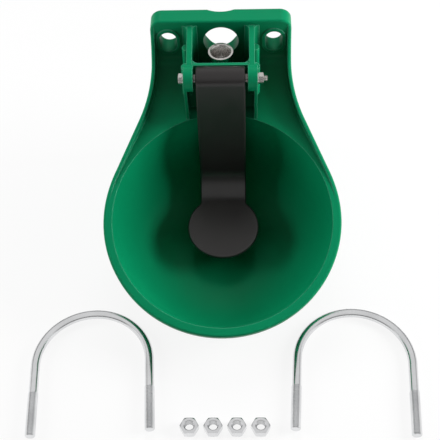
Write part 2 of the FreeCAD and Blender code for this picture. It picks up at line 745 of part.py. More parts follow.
# Valve: an inlet socket that faces up, and a barrel that runs forward through the web
valve_z = "0 - valve_drop"
inlet_y = "0 - inlet_back"
seat_y = "( %s + chamber_front )" % flange_y
barrel_end = "( %s + barrel_length )" % flange_y
metal = fuse("valve_metal", [
    rod("flange", "flange_radius", "flange_wall", "Y", "0", flange_y, valve_z),
    rod("barrel", "barrel_radius", "barrel_length", "Y", "0", flange_y, valve_z),
    rod("stub", "stub_radius", "stub_length", "Y", "0", stub_end, valve_z),
    rod("socket", "inlet_radius", "inlet_top + valve_drop", "Z", "0", inlet_y, valve_z)])
waterways = fuse("valve_waterways", [
    rod("inlet_bore_tool", "inlet_bore", "inlet_depth * 2", "Z", "0", inlet_y, "inlet_top - inlet_depth"),
    rod("feed_tool", "feed_bore", "valve_drop + inlet_top", "Z", "0", inlet_y, valve_z),
    rod("strainer_step", "strainer_rim_radius + running_gap", "inlet_depth", "Z",
        "0", inlet_y, "inlet_top - inlet_depth - strainer_rim"),
    rod("chamber_tool", "chamber_bore", "barrel_length", "Y", "0", seat_y, valve_z),
    rod("seat_tool", "seat_outer", "seat_wall", "Y", "0", seat_y + " - seat_wall", valve_z),
    rod("nozzle_tool", "nozzle_bore", "stub_length + barrel_length / 2", "Y", "0", stub_end, valve_z)])
valve_body = label(cut("valve_body", metal, waterways), "valve_body")
valve_gasket = label(ring("valve_gasket", "flange_radius", "stub_radius + stub_gap", "gasket_wall", "Y",
                          "0", "web_wall - web_forward", valve_z), "valve_gasket")
valve_lock_nut = label(cut("valve_lock_nut",
                           hexagon("lock_nut_hexagon", "lock_nut_hex", "lock_nut_height", "Y",
                                   "0", "0 - web_forward - lock_nut_height", valve_z),
                           rod("lock_nut_bore", "stub_radius", "lock_nut_height", "Y",
                               "0", "0 - web_forward - lock_nut_height", valve_z)), "valve_lock_nut")
valve_seat = label(ring("valve_seat", "seat_outer", "seat_bore", "seat_wall", "Y",
                        "0", seat_y + " - seat_wall", valve_z), "valve_seat")
water_slots = []
for number in range(3):
    around = "( %d * 120 + 90 ) * 1 deg" % number
    offset = "( stem_radius + nozzle_bore ) / 2"
    water_slots.append(rod("water_slot_%d" % number, "( nozzle_bore - stem_radius ) * 0.37", "guide_wall", "Y",
                           "%s * cos(%s)" % (offset, around), stub_end,
                           "0 - valve_drop + %s * sin(%s)" % (offset, around)))
guide_ring = ring("guide_ring", "nozzle_bore", "stem_radius + running_gap", "guide_wall", "Y",
                  "0", stub_end, valve_z)
stem_guide = label(cut("stem_guide", guide_ring, fuse("water_slots", water_slots)), "stem_guide")
head_y = "( %s + seal_wall )" % seat_y
valve_stem = label(fuse("valve_stem", [
    rod("stem_rod", "stem_radius", "stub_length + stem_reach + chamber_front + seal_wall", "Y",
        "0", stem_tip, valve_z),
    rod("stem_disc", "stem_head_radius", "stem_head", "Y", "0", head_y, valve_z),
    rod("stem_tail_rod", "stem_tail_radius", "stem_head + stem_tail", "Y", "0", head_y, valve_z)]), "valve_stem")
stem_seal = label(ring("stem_seal", "seal_radius", "stem_radius", "seal_wall", "Y",
                       "0", seat_y, valve_z), "stem_seal")
end_cap_seal = label(ring("end_cap_seal", "barrel_radius - 1", "chamber_bore", "cap_ring_wall", "Y",
                          "0", barrel_end, valve_z), "end_cap_seal")
end_cap = label(fuse("end_cap", [
    rod("cap_plug_rod", "chamber_bore", "cap_plug + cap_ring_wall", "Y",
        "0", barrel_end + " - cap_plug", valve_z),
    hexagon("cap_hexagon", "cap_hex", "cap_height", "Y",
            "0", barrel_end + " + cap_ring_wall", valve_z)]), "end_cap")

# Spring between the stem's head and the end cap
spring_start = "( %s + stem_head )" % head_y
spring_length = "( barrel_length - chamber_front - seal_wall - stem_head - cap_plug - spring_wire * 2 )"
helix = doc.addObject("Part::Helix", "spring_path")
bind(helix, Radius="spring_radius", Height=spring_length, Pitch=spring_length + " / spring_turns")
helix.SegmentLength = 1.0
wire = doc.addObject("Part::Circle", "spring_section")
bind(wire, Radius="spring_wire")
wire.Placement = Placement(Vector(), Rotation(Vector(1, 0, 0), 90))
seat(wire, "spring_radius", "0", "0")
doc.recompute()
coil = doc.addObject("Part::Sweep", "spring_coil")
coil.Sections = [wire]
coil.Spine = (helix, ["Edge1"])
coil.Solid = True
coil.Frenet = True
lay(coil, "Y")
seat(coil, "0", spring_start + " + spring_wire", valve_z)
valve_spring = label(coil, "valve_spring")

strainer_z = "( inlet_top - inlet_depth - strainer_rim )"
strainer_outer = "( feed_bore - stub_gap )"
strainer_solid = fuse("strainer_solid", [
    rod("strainer_rim_disc", "strainer_rim_radius", "strainer_rim", "Z", "0", inlet_y, strainer_z),
    rod("strainer_cup", strainer_outer, "strainer_length", "Z", "0", inlet_y, strainer_z + " - strainer_length")])
inlet_strainer = label(cut("inlet_strainer", strainer_solid,
                           rod("strainer_room", strainer_outer + " - strainer_wall",
                               "strainer_length + strainer_rim", "Z", "0", inlet_y,
                               strainer_z + " - strainer_length + strainer_wall")), "inlet_strainer")


# Clamp bolts for a post, lying on the same level as the foot
def clamp(name, side_x, angle):
    """A round U of bar with two threaded legs that point forward."""
    bow = doc.addObject("Part::Torus", name + "_bow")
    bind(bow, Radius1="clamp_radius", Radius2="clamp_rod")
    bow.Angle3 = 180
    members = [bow]
    for leg, x in (("a", "0 - clamp_radius"), ("b", "clamp_radius")):
        members.append(rod(name + "_leg_" + leg, "clamp_rod", "clamp_leg - clamp_thread_length", "Y",
                           x, "clamp_thread_length - clamp_leg"))
        members.append(rod(name + "_thread_" + leg, "clamp_thread", "clamp_thread_length", "Y",
                           x, "0 - clamp_leg"))
    bolt = fuse(name, members)
    turn(bolt, Vector(0, 0, 1), angle)
    seat(bolt, side_x, "0 - clamp_forward", "clamp_thread - foot_drop")
    return label(bolt, name)


u_bolt_left = clamp("u_bolt_left", "0 - clamp_side", "clamp_turn * 1 deg")
u_bolt_right = clamp("u_bolt_right", "clamp_side", "0 deg - clamp_turn * 1 deg")
nuts = []
for number in range(4):
    x = "nut_side + nut_pitch * %s" % (number - 1.5)
    nuts.append(cut("u_bolt_nut_%d" % number,
                    hexagon("nut_hexagon_%d" % number, "nut_hex", "nut_height", "Z",
                            x, "0 - nut_forward", "0 - foot_drop"),
                    rod("nut_bore_%d" % number, "nut_bore", "nut_height", "Z",
                        x, "0 - nut_forward", "0 - foot_drop")))
u_bolt_nuts = group("u_bolt_nuts", nuts)

sub_parts = [bowl_body, tongue, pivot_sleeve, pivot_bolt, pivot_washers, pivot_nut, valve_body,
             valve_gasket, valve_lock_nut, valve_seat, stem_guide, valve_stem, stem_seal,
             valve_spring, end_cap_seal, end_cap, inlet_strainer, u_bolt_left, u_bolt_right, u_bolt_nuts]

# Every object has to be sound before anything is written
doc.recompute()
for thing in doc.Objects:
    if "Invalid" in thing.State or "Error" in thing.State:
        raise RuntimeError("not computed: " + thing.Name)
for part in sub_parts:
    if part.Shape.isNull() or not part.Shape.isValid():
        raise RuntimeError("not a sound shape: " + part.Label)
os.makedirs("parts", exist_ok=True)
for part in sub_parts:
    part.Shape.exportStep("parts/" + part.Label + ".step")
    print(part.Label, len(part.Shape.Solids), round(part.Shape.Volume, 1))
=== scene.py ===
import json
import math

import bmesh
import bpy
from mathutils import Euler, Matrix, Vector


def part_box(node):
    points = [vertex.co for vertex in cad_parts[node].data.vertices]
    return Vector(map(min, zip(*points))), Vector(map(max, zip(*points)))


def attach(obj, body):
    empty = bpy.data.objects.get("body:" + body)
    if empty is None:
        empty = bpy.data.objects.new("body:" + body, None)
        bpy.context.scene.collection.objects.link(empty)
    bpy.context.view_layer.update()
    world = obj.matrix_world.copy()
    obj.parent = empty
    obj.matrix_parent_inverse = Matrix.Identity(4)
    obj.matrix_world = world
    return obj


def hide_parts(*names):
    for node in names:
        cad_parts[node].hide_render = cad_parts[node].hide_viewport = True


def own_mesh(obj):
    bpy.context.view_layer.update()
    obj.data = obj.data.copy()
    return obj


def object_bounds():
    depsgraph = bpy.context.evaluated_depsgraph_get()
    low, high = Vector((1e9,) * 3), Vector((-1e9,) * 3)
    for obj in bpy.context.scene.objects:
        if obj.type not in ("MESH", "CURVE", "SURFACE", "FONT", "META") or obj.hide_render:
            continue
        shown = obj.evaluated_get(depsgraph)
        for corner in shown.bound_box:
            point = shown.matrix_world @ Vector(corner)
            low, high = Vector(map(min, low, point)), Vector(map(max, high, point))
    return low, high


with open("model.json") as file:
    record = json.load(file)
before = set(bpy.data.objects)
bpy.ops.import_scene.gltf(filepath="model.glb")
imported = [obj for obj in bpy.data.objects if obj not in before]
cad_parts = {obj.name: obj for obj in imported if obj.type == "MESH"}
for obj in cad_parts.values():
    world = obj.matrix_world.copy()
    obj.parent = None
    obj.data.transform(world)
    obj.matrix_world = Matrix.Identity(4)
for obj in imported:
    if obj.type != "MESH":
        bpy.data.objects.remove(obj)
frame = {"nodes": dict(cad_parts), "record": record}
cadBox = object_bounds()
nodes = frame["nodes"]
print("loaded", len(nodes), "nodes")

scene = bpy.context.scene
scene.view_settings.view_transform = "Standard"


# Materials

def startMaterial(name, shaderValues):
    material = bpy.data.materials.new(name)
    material.use_nodes = True
    tree = material.node_tree
    shader = tree.nodes["Principled BSDF"]
    for socket, value in shaderValues.items():
        shader.inputs[socket].default_value = value
    place = tree.nodes.new("ShaderNodeTexCoord")
    return material, tree, shader, place.outputs["Object"]


def addNoise(tree, place, scale, detail=3.0, stretch=None):
    if stretch:
        mapping = tree.nodes.new("ShaderNodeMapping")
        mapping.inputs["Scale"].default_value = stretch
        tree.links.new(place, mapping.inputs["Vector"])
        place = mapping.outputs["Vector"]
    noise = tree.nodes.new("ShaderNodeTexNoise")
    noise.inputs["Scale"].default_value = scale
    noise.inputs["Detail"].default_value = detail
    tree.links.new(place, noise.inputs["Vector"])
    return noise.outputs["Fac"]


def spreadTo(tree, value, low, high, start=0.3, end=0.7):
    ramp = tree.nodes.new("ShaderNodeMapRange")
    ramp.inputs["From Min"].default_value = start
    ramp.inputs["From Max"].default_value = end
    ramp.inputs["To Min"].default_value = low
    ramp.inputs["To Max"].default_value = high
    tree.links.new(value, ramp.inputs["Value"])
    return ramp.outputs["Result"]


def blendColours(tree, value, first, second, start=0.3, end=0.7):
    ramp = tree.nodes.new("ShaderNodeValToRGB")
    ramp.color_ramp.elements[0].color = (*first, 1)
    ramp.color_ramp.elements[1].color = (*second, 1)
    ramp.color_ramp.elements[0].position = start
    ramp.color_ramp.elements[1].position = end
    tree.links.new(value, ramp.inputs["Fac"])
    return ramp.outputs["Color"]


def addMath(tree, operation, *values):
    # a math node: numbers are set on it, outputs of other nodes are linked to it
    node = tree.nodes.new("ShaderNodeMath")
    node.operation = operation
    for socket, value in zip(node.inputs, values):
        if isinstance(value, float):
            socket.default_value = value
        else:
            tree.links.new(value, socket)
    return node.outputs["Value"]


def addBump(tree, shader, height, distance, edgeRadius=0.0):
    bump = tree.nodes.new("ShaderNodeBump")
    bump.inputs["Distance"].default_value = distance
    if edgeRadius:
        edge = tree.nodes.new("ShaderNodeBevel")
        edge.samples = 8
        edge.inputs["Radius"].default_value = edgeRadius
        tree.links.new(edge.outputs["Normal"], bump.inputs["Normal"])
    tree.links.new(height, bump.inputs["Height"])
    tree.links.new(bump.outputs["Normal"], shader.inputs["Normal"])


def paintEdgeHighlights(tree, colour, highlightColour, radius, amount, parted=0.84, flush=0.995):
    # painted highlight: compares the rounded normal with the true one, and pales the colour where they
    # part, as if the rounded edges caught the light
    shape = tree.nodes.new("ShaderNodeNewGeometry")
    edge = tree.nodes.new("ShaderNodeBevel")
    edge.samples = 6
    edge.inputs["Radius"].default_value = radius
    match = tree.nodes.new("ShaderNodeVectorMath")
    match.operation = "DOT_PRODUCT"
    tree.links.new(edge.outputs["Normal"], match.inputs[0])
    tree.links.new(shape.outputs["Normal"], match.inputs[1])
    share = spreadTo(tree, match.outputs["Value"], amount, 0.0, parted, flush)
    mix = tree.nodes.new("ShaderNodeMix")
    mix.data_type = "RGBA"
    # a colour mix has its colours at inputs 6 and 7 and its result at output 2
    mix.inputs[7].default_value = (*highlightColour, 1)
    tree.links.new(share, mix.inputs[0])
    tree.links.new(colour, mix.inputs[6])
    return mix.outputs[2]


def paintedRecessShade(tree, colour, reach, depth, closed=0.2, clear=0.85):
    # painted shade: darkens the colour in recesses by how much they are occluded
    hollow = tree.nodes.new("ShaderNodeAmbientOcclusion")
    hollow.samples = 8
    hollow.inputs["Distance"].default_value = reach
    share = spreadTo(tree, hollow.outputs["AO"], depth, 1.0, closed, clear)
    scaled = tree.nodes.new("ShaderNodeVectorMath")
    scaled.operation = "SCALE"
    tree.links.new(colour, scaled.inputs[0])
    tree.links.new(share, scaled.inputs["Scale"])
    return scaled.outputs["Vector"]


def plasticMaterial(name, look):
    # moulded plastic: cloudy colour, orange-peel gloss and a very fine grain, with painted highlights on
    # its edges and painted shade in its recesses where the look gives them
    material, tree, shader, place = startMaterial(name, {"Specular IOR Level": look["specular"]})
    cloud = addNoise(tree, place, look["cloudScale"], detail=4.0)
    colour = blendColours(tree, cloud, look["dark"], look["light"])
    # painted highlights along the rounded edges
    if "highlightColour" in look:
        colour = paintEdgeHighlights(tree, colour, look["highlightColour"], look["edgeRadius"], look["highlightAmount"])
    # painted shade in corners and recesses
    if "paintedShadeReach" in look:
        colour = paintedRecessShade(tree, colour, look["paintedShadeReach"], look["paintedRecessShade"])
    tree.links.new(colour, shader.inputs["Base Color"])
    sheen = addNoise(tree, place, look["sheenScale"], detail=5.0)
    tree.links.new(spreadTo(tree, sheen, look["smooth"], look["rough"]), shader.inputs["Roughness"])
    grain = addNoise(tree, place, look["grainScale"], detail=2.0)
    addBump(tree, shader, grain, look["grainDepth"], look.get("edgeRadius", 0.0))
    return material


def metalMaterial(name, look):
    # bare or plated metal: fine lines along the way it was worked, and faint stains
    material, tree, shader, place = startMaterial(name, {"Metallic": 1.0})
    stain = addNoise(tree, place, look["stainScale"], detail=4.0)
    tree.links.new(blendColours(tree, stain, look["dark"], look["light"]), shader.inputs["Base Color"])
    lines = addNoise(tree, place, look["lineScale"], stretch=look["lineStretch"])
    tree.links.new(spreadTo(tree, lines, look["smooth"], look["rough"]), shader.inputs["Roughness"])
    addBump(tree, shader, lines, look["lineDepth"], look["edgeRadius"])
    return material


greenLook = {"dark": (0.002, 0.218, 0.092), "light": (0.003, 0.245, 0.104), "cloudScale": 9.0,
             "smooth": 0.36, "rough": 0.46, "sheenScale": 30.0, "specular": 0.11,
             "grainScale": 900.0, "grainDepth": 0.00002, "edgeRadius": 0.0012,
             # the pale edge colour is a painted highlight
             "highlightColour": (0.15, 0.46, 0.33), "highlightAmount": 0.6,
             # reach and strength of the painted shade in recesses
             "paintedShadeReach": 0.09, "paintedRecessShade": 0.58}
blackLook = {"dark": (0.0155, 0.0136, 0.0132), "light": (0.0185, 0.0163, 0.0158), "cloudScale": 14.0,
             "smooth": 0.28, "rough": 0.37, "sheenScale": 45.0, "specular": 0.48,
             "grainScale": 1300.0, "grainDepth": 0.00002, "edgeRadius": 0.0022,
             # the pale edge colour is a painted highlight
             "highlightColour": (0.15, 0.142, 0.138), "highlightAmount": 0.55}
whiteLook = {"dark": (0.72, 0.71, 0.67), "light": (0.78, 0.77, 0.73), "cloudScale": 60.0,
             "smooth": 0.35, "rough": 0.5, "sheenScale": 200.0, "specular": 0.5,
             "grainScale": 1500.0, "grainDepth": 0.00002}
rubberLook = {"dark": (0.018, 0.018, 0.019), "light": (0.03, 0.03, 0.031), "cloudScale": 80.0,
              "smooth": 0.6, "rough": 0.8, "sheenScale": 200.0, "specular": 0.3,
              "grainScale": 1800.0, "grainDepth": 0.00003}
strainerLook = {"dark": (0.06, 0.038, 0.028), "light": (0.085, 0.055, 0.04), "cloudScale": 90.0,
                "smooth": 0.5, "rough": 0.65, "sheenScale": 200.0, "specular": 0.15,
                "grainScale": 1500.0, "grainDepth": 0.00002}
stainlessLook = {"dark": (0.58, 0.56, 0.535), "light": (0.70, 0.68, 0.65), "stainScale": 60.0,
                 "smooth": 0.2, "rough": 0.3, "lineScale": 300.0, "lineStretch": (1, 1, 9),
                 "lineDepth": 0.000004, "edgeRadius": 0.0002}
zincLook = {"dark": (0.72, 0.725, 0.735), "light": (0.82, 0.825, 0.835), "stainScale": 35.0,
            "smooth": 0.17, "rough": 0.26, "lineScale": 260.0, "lineStretch": (1, 1, 1),
            "lineDepth": 0.000004, "edgeRadius": 0.0002}

finishes = {
    "green_plastic": plasticMaterial("greenPlastic", greenLook),
    "black_plastic": plasticMaterial("blackPlastic", blackLook),
    "white_plastic": plasticMaterial("whitePlastic", whiteLook),
    "rubber": plasticMaterial("sealRubber", rubberLook),
    "dark_plastic": plasticMaterial("strainerPlastic", strainerLook),
    "stainless": metalMaterial("stainlessSteel", stainlessLook),
    "zinc": metalMaterial("zincPlate", zincLook),
}
nodeSlots = {entry["node"]: entry["material_slot"] for entry in frame["record"]["subparts"]}
for node, slot in nodeSlots.items():
    mesh = nodes[node].data
    mesh.materials.clear()
    mesh.materials.append(finishes[slot])

# The sleeve is a darker copy of the stainless steel: partly the darker tone of plain steel, partly painted
# shade for the gap between tongue and ears where it sits
shadedSleeveLook = {**stainlessLook, "dark": (0.13, 0.125, 0.118), "light": (0.19, 0.182, 0.172)}
nodes["pivot_sleeve"].data.materials[0] = metalMaterial("shadedSleeveSteel", shadedSleeveLook)
print("materials set")


# Modelling helpers

def clearChoice():
    bpy.ops.object.select_all(action="DESELECT")


def choose(piece):
    clearChoice()
    piece.select_set(True)
    bpy.context.view_layer.objects.active = piece


def applyAll(piece):
    choose(piece)
    for modifier in list(piece.modifiers):
        bpy.ops.object.modifier_apply(modifier=modifier.name)


def settle(piece):
    # writes place and turn into the mesh, so that the piece sits at the origin
    choose(piece)
    bpy.ops.object.transform_apply(location=True, rotation=True, scale=True)


def carve(piece, tool, operation):
    # cuts or trims a piece with a tool, which is used up
    modifier = piece.modifiers.new("carve", "BOOLEAN")
    modifier.operation = operation
    modifier.solver = "EXACT"
    modifier.object = tool
    applyAll(piece)
    bpy.data.meshes.remove(tool.data)


def addRod(name, radius, depth, sides, base=0.0):
    # an upright cylinder from its base upwards
    clearChoice()
    bpy.ops.mesh.primitive_cylinder_add(vertices=sides, radius=radius, depth=depth,
                                        location=(0, 0, base + depth / 2))
    piece = bpy.context.object
    piece.name = name
    settle(piece)
    return piece


def addCone(name, lowRadius, highRadius, depth, sides, base=0.0):
    # an upright cone from its base upwards
    clearChoice()
    bpy.ops.mesh.primitive_cone_add(vertices=sides, radius1=lowRadius, radius2=highRadius, depth=depth,
                                    location=(0, 0, base + depth / 2))
    piece = bpy.context.object
    piece.name = name
    settle(piece)
    return piece


def drawIn(piece, low, high, scale, rise, reach=1e-6, upright=0.9):
    # draws both end faces of an upright prism inwards, as a turned chamfer
    choose(piece)
    bpy.ops.object.mode_set(mode="EDIT")
    bpy.ops.mesh.select_mode(type="FACE")
    for level, way in ((low, -1), (high, 1)):
        bpy.ops.mesh.select_all(action="DESELECT")
        mesh = bmesh.from_edit_mesh(piece.data)
        for face in mesh.faces:
            atLevel = abs(face.calc_center_median().z - level) < reach
            face.select_set(atLevel and abs(face.normal.z) > upright)
        bmesh.update_edit_mesh(piece.data)
        bpy.ops.mesh.extrude_region_move(TRANSFORM_OT_translate={"value": (0, 0, way * rise)})
        bpy.ops.transform.resize(value=(scale, scale, 1), center_override=(0, 0, level + way * rise))
    bpy.ops.object.mode_set(mode="OBJECT")


def addScrew(name, radius, root, pitch, length, chamfer, steps=32, crest=(0.42, 0.58)):
    # an upright threaded rod from 0 to its length, with chamfered ends; its crest is given in pitches
    clearChoice()
    bpy.ops.mesh.primitive_plane_add(size=1)
    screw = bpy.context.object
    screw.name = name
    bpy.ops.object.mode_set(mode="EDIT")
    bpy.ops.mesh.select_mode(type="EDGE")
    bpy.ops.mesh.select_all(action="DESELECT")
    mesh = bmesh.from_edit_mesh(screw.data)
    corners = sorted(mesh.verts, key=lambda vert: (vert.co.x, vert.co.y))
    ring = [corners[0], corners[1], corners[3], corners[2]]
    outline = [(root, 0.0), (radius, crest[0] * pitch), (radius, crest[1] * pitch), (root, pitch)]
    for vert, (across, up) in zip(ring, outline):
        vert.co = (across, 0.0, up - pitch * 2)
    for edge in mesh.edges:
        edge.select_set(set(edge.verts) == {ring[0], ring[3]})
    bmesh.update_edit_mesh(screw.data)
    bpy.ops.mesh.delete(type="EDGE")
    bpy.ops.object.mode_set(mode="OBJECT")
    wind = screw.modifiers.new("wind", "SCREW")
    wind.axis = "Z"
    wind.angle = math.tau
    wind.screw_offset = pitch
    wind.iterations = math.ceil(length / pitch) + 3
    wind.steps = steps
    wind.render_steps = steps
    applyAll(screw)
    bpy.ops.object.mode_set(mode="EDIT")
    bpy.ops.mesh.select_all(action="SELECT")
    weld = pitch / 200
    bpy.ops.mesh.remove_doubles(threshold=weld)
    bpy.ops.mesh.select_all(action="SELECT")
    bpy.ops.mesh.fill_holes(sides=0)
    bpy.ops.mesh.select_all(action="SELECT")
    bpy.ops.mesh.normals_make_consistent(inside=False)
    bpy.ops.object.mode_set(mode="OBJECT")
    cover = 1.001  # the blank stands a little outside the crests
    blank = addRod("blank", radius * cover, length - 2 * chamfer, steps * 2, chamfer)
    drawIn(blank, chamfer, length - chamfer, (radius - chamfer) / radius, chamfer)
    carve(screw, blank, "INTERSECT")
    return screw


def addHexagon(name, flats, height, turn=0.0, faceShare=0.96, slope=30, cover=1.0005):
    # an upright nut or bolt head from 0 to its height, with both faces turned down to a round
    corner = flats / 2 / math.cos(math.radians(30))
    inner = flats / 2 * faceShare
    drop = (corner - inner) * math.tan(math.radians(slope))
    hexagon = addRod(name, corner, height, 6)
    hexagon.rotation_euler.z = math.radians(turn)
    settle(hexagon)
    turned = addRod("turned", corner * cover, height - 2 * drop, 64, drop)
    drawIn(turned, drop, height - drop, inner / corner, drop)
    carve(hexagon, turned, "INTERSECT")
    return hexagon


def tapThrough(nut, height, bore, pastFace=0.3, sinkShare=1.07, past=0.0002, lap=0.0005):
    # a threaded bore with a countersink on each face
    length = height * (1 + 2 * pastFace)
    tap = addScrew("tap", bore["radius"], bore["root"], bore["pitch"], length, chamfer=height * 0.1)
    tap.location.z = -height * pastFace
    settle(tap)
    carve(nut, tap, "DIFFERENCE")
    mouth = bore["radius"] * sinkShare
    sinkDepth = mouth - bore["root"] + past
    for way in (1, -1):
        sink = addCone("sink", mouth - sinkDepth, mouth + lap, sinkDepth + lap, 48, -sinkDepth)
        sink.rotation_euler.x = 0.0 if way > 0 else math.pi
        sink.location.z = height if way > 0 else 0.0
        settle(sink)
        carve(nut, sink, "DIFFERENCE")


def finishPiece(piece, body, slot, angle=32, replaced=()):
    # smooth shading over shallow edges, the slot's material, and the body that it moves with
    choose(piece)
    bpy.ops.object.mode_set(mode="EDIT")
    bpy.ops.mesh.select_all(action="SELECT")
    bpy.ops.mesh.normals_make_consistent(inside=False)
    bpy.ops.object.mode_set(mode="OBJECT")
    bpy.ops.object.shade_smooth_by_angle(angle=math.radians(angle))
    piece.data.materials.clear()
    piece.data.materials.append(finishes[slot])
    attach(piece, body)
    if replaced:
        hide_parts(*replaced)
    return piece


def joinAll(name, members):
    clearChoice()
    for member in members:
        member.select_set(True)
    bpy.context.view_layer.objects.active = members[0]
    bpy.ops.object.join()
    piece = bpy.context.object
    piece.name = name
    return piece


# Clamp bolts: a round bar bent to a U, with rolled threads on both legs

clampBolt = {"bend": 0.057, "rod": 0.00445, "thread": 0.00495, "root": 0.0042, "pitch": 0.0015,
             "leg": 0.076, "threadLength": 0.046, "chamfer": 0.0008, "side": 0.1308, "forward": 0.2896,
             "turn": 3.5, "sides": 32, "bendSteps": 56, "lap": 0.0005}


def makeClampBolt(name, way, size):
    # the bar starts as a disc at the end of the left leg, and is pulled and spun round to the right
    plain = size["leg"] - size["threadLength"]
    straight = plain + size["lap"]
    clearChoice()
    bpy.ops.mesh.primitive_circle_add(vertices=size["sides"], radius=size["rod"], fill_type="NGON",
                                      location=(-size["bend"], -straight, 0),
                                      rotation=(math.radians(90), 0, 0))
    bar = bpy.context.object
    settle(bar)
    bpy.ops.object.mode_set(mode="EDIT")
    bpy.ops.mesh.select_mode(type="FACE")
    bpy.ops.mesh.select_all(action="SELECT")
    bpy.ops.mesh.extrude_region_move(TRANSFORM_OT_translate={"value": (0, straight, 0)})
    bpy.ops.mesh.spin(steps=size["bendSteps"], angle=math.pi, center=(0, 0, 0), axis=(0, 0, 1))
    bpy.ops.mesh.extrude_region_move(TRANSFORM_OT_translate={"value": (0, -straight, 0)})
    bpy.ops.object.mode_set(mode="OBJECT")
    legs = []
    for side in (-1, 1):
        leg = addScrew("leg", size["thread"], size["root"], size["pitch"], size["threadLength"],
                       size["chamfer"])
        leg.rotation_euler.x = math.radians(90)
        leg.location = (side * size["bend"], -plain, 0)
        settle(leg)
        legs.append(leg)
    bolt = joinAll(name, [bar] + legs)
    bolt.rotation_euler.z = math.radians(-way * size["turn"])
    bolt.location = (way * size["side"], -size["forward"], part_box("u_bolt_left")[0][2] + size["thread"])
    settle(bolt)
    return bolt


for side, way in (("left", -1), ("right", 1)):
    clampPiece = makeClampBolt("clampBolt" + side.capitalize(), way, clampBolt)
    finishPiece(clampPiece, "body", "zinc", replaced=("u_bolt_" + side,))
print("clamp bolts made")

# Clamp nuts: one is modelled, the others are copies

clampNut = {"count": 4, "flats": 0.016, "height": 0.0084, "middle": 0.0022, "spacing": 0.0227,
            "forward": 0.3592, "turn": 30.0, "bore": {"radius": 0.005, "root": 0.0042, "pitch": 0.0015}}


def makeClampNuts(size):
    first = addHexagon("clampNut", size["flats"], size["height"], size["turn"])
    tapThrough(first, size["height"], size["bore"])
    nuts = [first]
    while len(nuts) < size["count"]:
        nut = first.copy()
        nut.data = first.data.copy()
        scene.collection.objects.link(nut)
        nuts.append(nut)
    halfRow = (size["count"] - 1) / 2
    for index, nut in enumerate(nuts):
        nut.location = (size["middle"] + size["spacing"] * (index - halfRow), -size["forward"],
                        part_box("u_bolt_nuts")[0][2])
        settle(nut)
    return joinAll("clampNuts", nuts)


finishPiece(makeClampNuts(clampNut), "body", "zinc", angle=25, replaced=("u_bolt_nuts",))
print("clamp nuts made")

# Pivot bolt and nut, lying across the ears

pivotSet = {"forward": 0.0759, "height": 0.0025, "headFlats": 0.010, "headStart": -0.0415,
            "headDepth": 0.004, "rod": 0.00295, "threadStart": 0.034, "end": 0.046, "root": 0.0025,
            "pitch": 0.001, "chamfer": 0.0005, "lap": 0.0005, "nutStart": 0.0375, "nutDepth": 0.005,
            "bore": {"radius": 0.00305, "root": 0.0026, "pitch": 0.001}}


def layAcross(piece, start, size):
    # turns an upright piece to lie along the hinge line, from its start to the right
    piece.rotation_euler.y = math.radians(90)
    piece.location = (start, -size["forward"], size["height"])
    settle(piece)


def makePivotBolt(size):
    head = addHexagon("head", size["headFlats"], size["headDepth"])
    layAcross(head, size["headStart"], size)
    shankStart = size["headStart"] + size["headDepth"] - size["lap"]
    shank = addRod("shank", size["rod"], size["threadStart"] + size["lap"] - shankStart, 32)
    layAcross(shank, shankStart, size)
    rolledOut = 1.015  # rolling lifts the thread's crests above the shank
    thread = addScrew("thread", size["rod"] * rolledOut, size["root"], size["pitch"],
                      size["end"] - size["threadStart"], size["chamfer"])
    layAcross(thread, size["threadStart"], size)
    return joinAll("pivotBolt", [head, shank, thread])


def makePivotNut(size):
    nut = addHexagon("pivotNut", size["headFlats"], size["nutDepth"])
    tapThrough(nut, size["nutDepth"], size["bore"])
    layAcross(nut, size["nutStart"], size)
    return nut


finishPiece(makePivotBolt(pivotSet), "body", "stainless", angle=25, replaced=("pivot_bolt",))
finishPiece(makePivotNut(pivotSet), "body", "stainless", angle=25, replaced=("pivot_nut",))
print("pivot bolt and nut made")

# Valve body: the same casting with its inlet thread cut and its mouth chamfered

inletThread = {"forward": 0.0433, "top": 0.0089, "root": 0.0092, "radius": 0.01035, "pitch": 0.001814,
               "depth": 0.0165, "mouth": 0.0107, "pastMouth": 0.003, "lap": 0.001, "past": 0.0002}


def copyOfNode(name, node, weld=1e-6):
    piece = nodes[node].copy()
    piece.data = nodes[node].data.copy()
    piece.name = name
    scene.collection.objects.link(piece)
    choose(piece)
    bpy.ops.object.mode_set(mode="EDIT")
    bpy.ops.mesh.select_mode(type="VERT")
    bpy.ops.mesh.select_all(action="SELECT")
    bpy.ops.mesh.remove_doubles(threshold=weld)
    bpy.ops.object.mode_set(mode="OBJECT")
    return piece


def makeValveBody(size):
    body = copyOfNode("valveCasting", "valve_body")
    tap = addScrew("tap", size["radius"], size["root"], size["pitch"], size["depth"] + size["pastMouth"],
                   chamfer=0.001, steps=48)
    tap.location = (0, -size["forward"], size["top"] - size["depth"])
    settle(tap)
    carve(body, tap, "DIFFERENCE")
    chamfer = size["mouth"] - size["root"] + size["past"]
    sink = addCone("sink", size["mouth"] - chamfer, size["mouth"] + size["lap"], chamfer + size["lap"],
                   96, -chamfer)
    sink.location = (0, -size["forward"], size["top"])
    settle(sink)
    carve(body, sink, "DIFFERENCE")
    return body


finishPiece(makeValveBody(inletThread), "body", nodeSlots["valve_body"], angle=30, replaced=("valve_body",))
print("valve casting made")

# Valve spring: the same coil


def makeSpring():
    low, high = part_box("valve_spring")
    spring = copyOfNode("valveCoil", "valve_spring")
    finishPiece(spring, "body", "stainless", angle=40, replaced=("valve_spring",))
    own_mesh(spring)


makeSpring()
print("valve spring made")

# Fillets where the ribs meet the plate and the cross web

neckFillets = {"ribInner": 0.0285, "ribOuter": 0.034, "plateFront": 0.018, "webRear": 0.0597,
               "ribTop": 0.0206, "webTop": 0.0086, "ribFall": 0.2652, "plateRadius": 0.0048,
               "outerRadius": 0.0052, "webRadius": 0.0062, "roomBase": -0.0605, "pocketBase": -0.024,
               "lap": 0.0003, "blankHeight": 0.1, "barPast": 0.01}


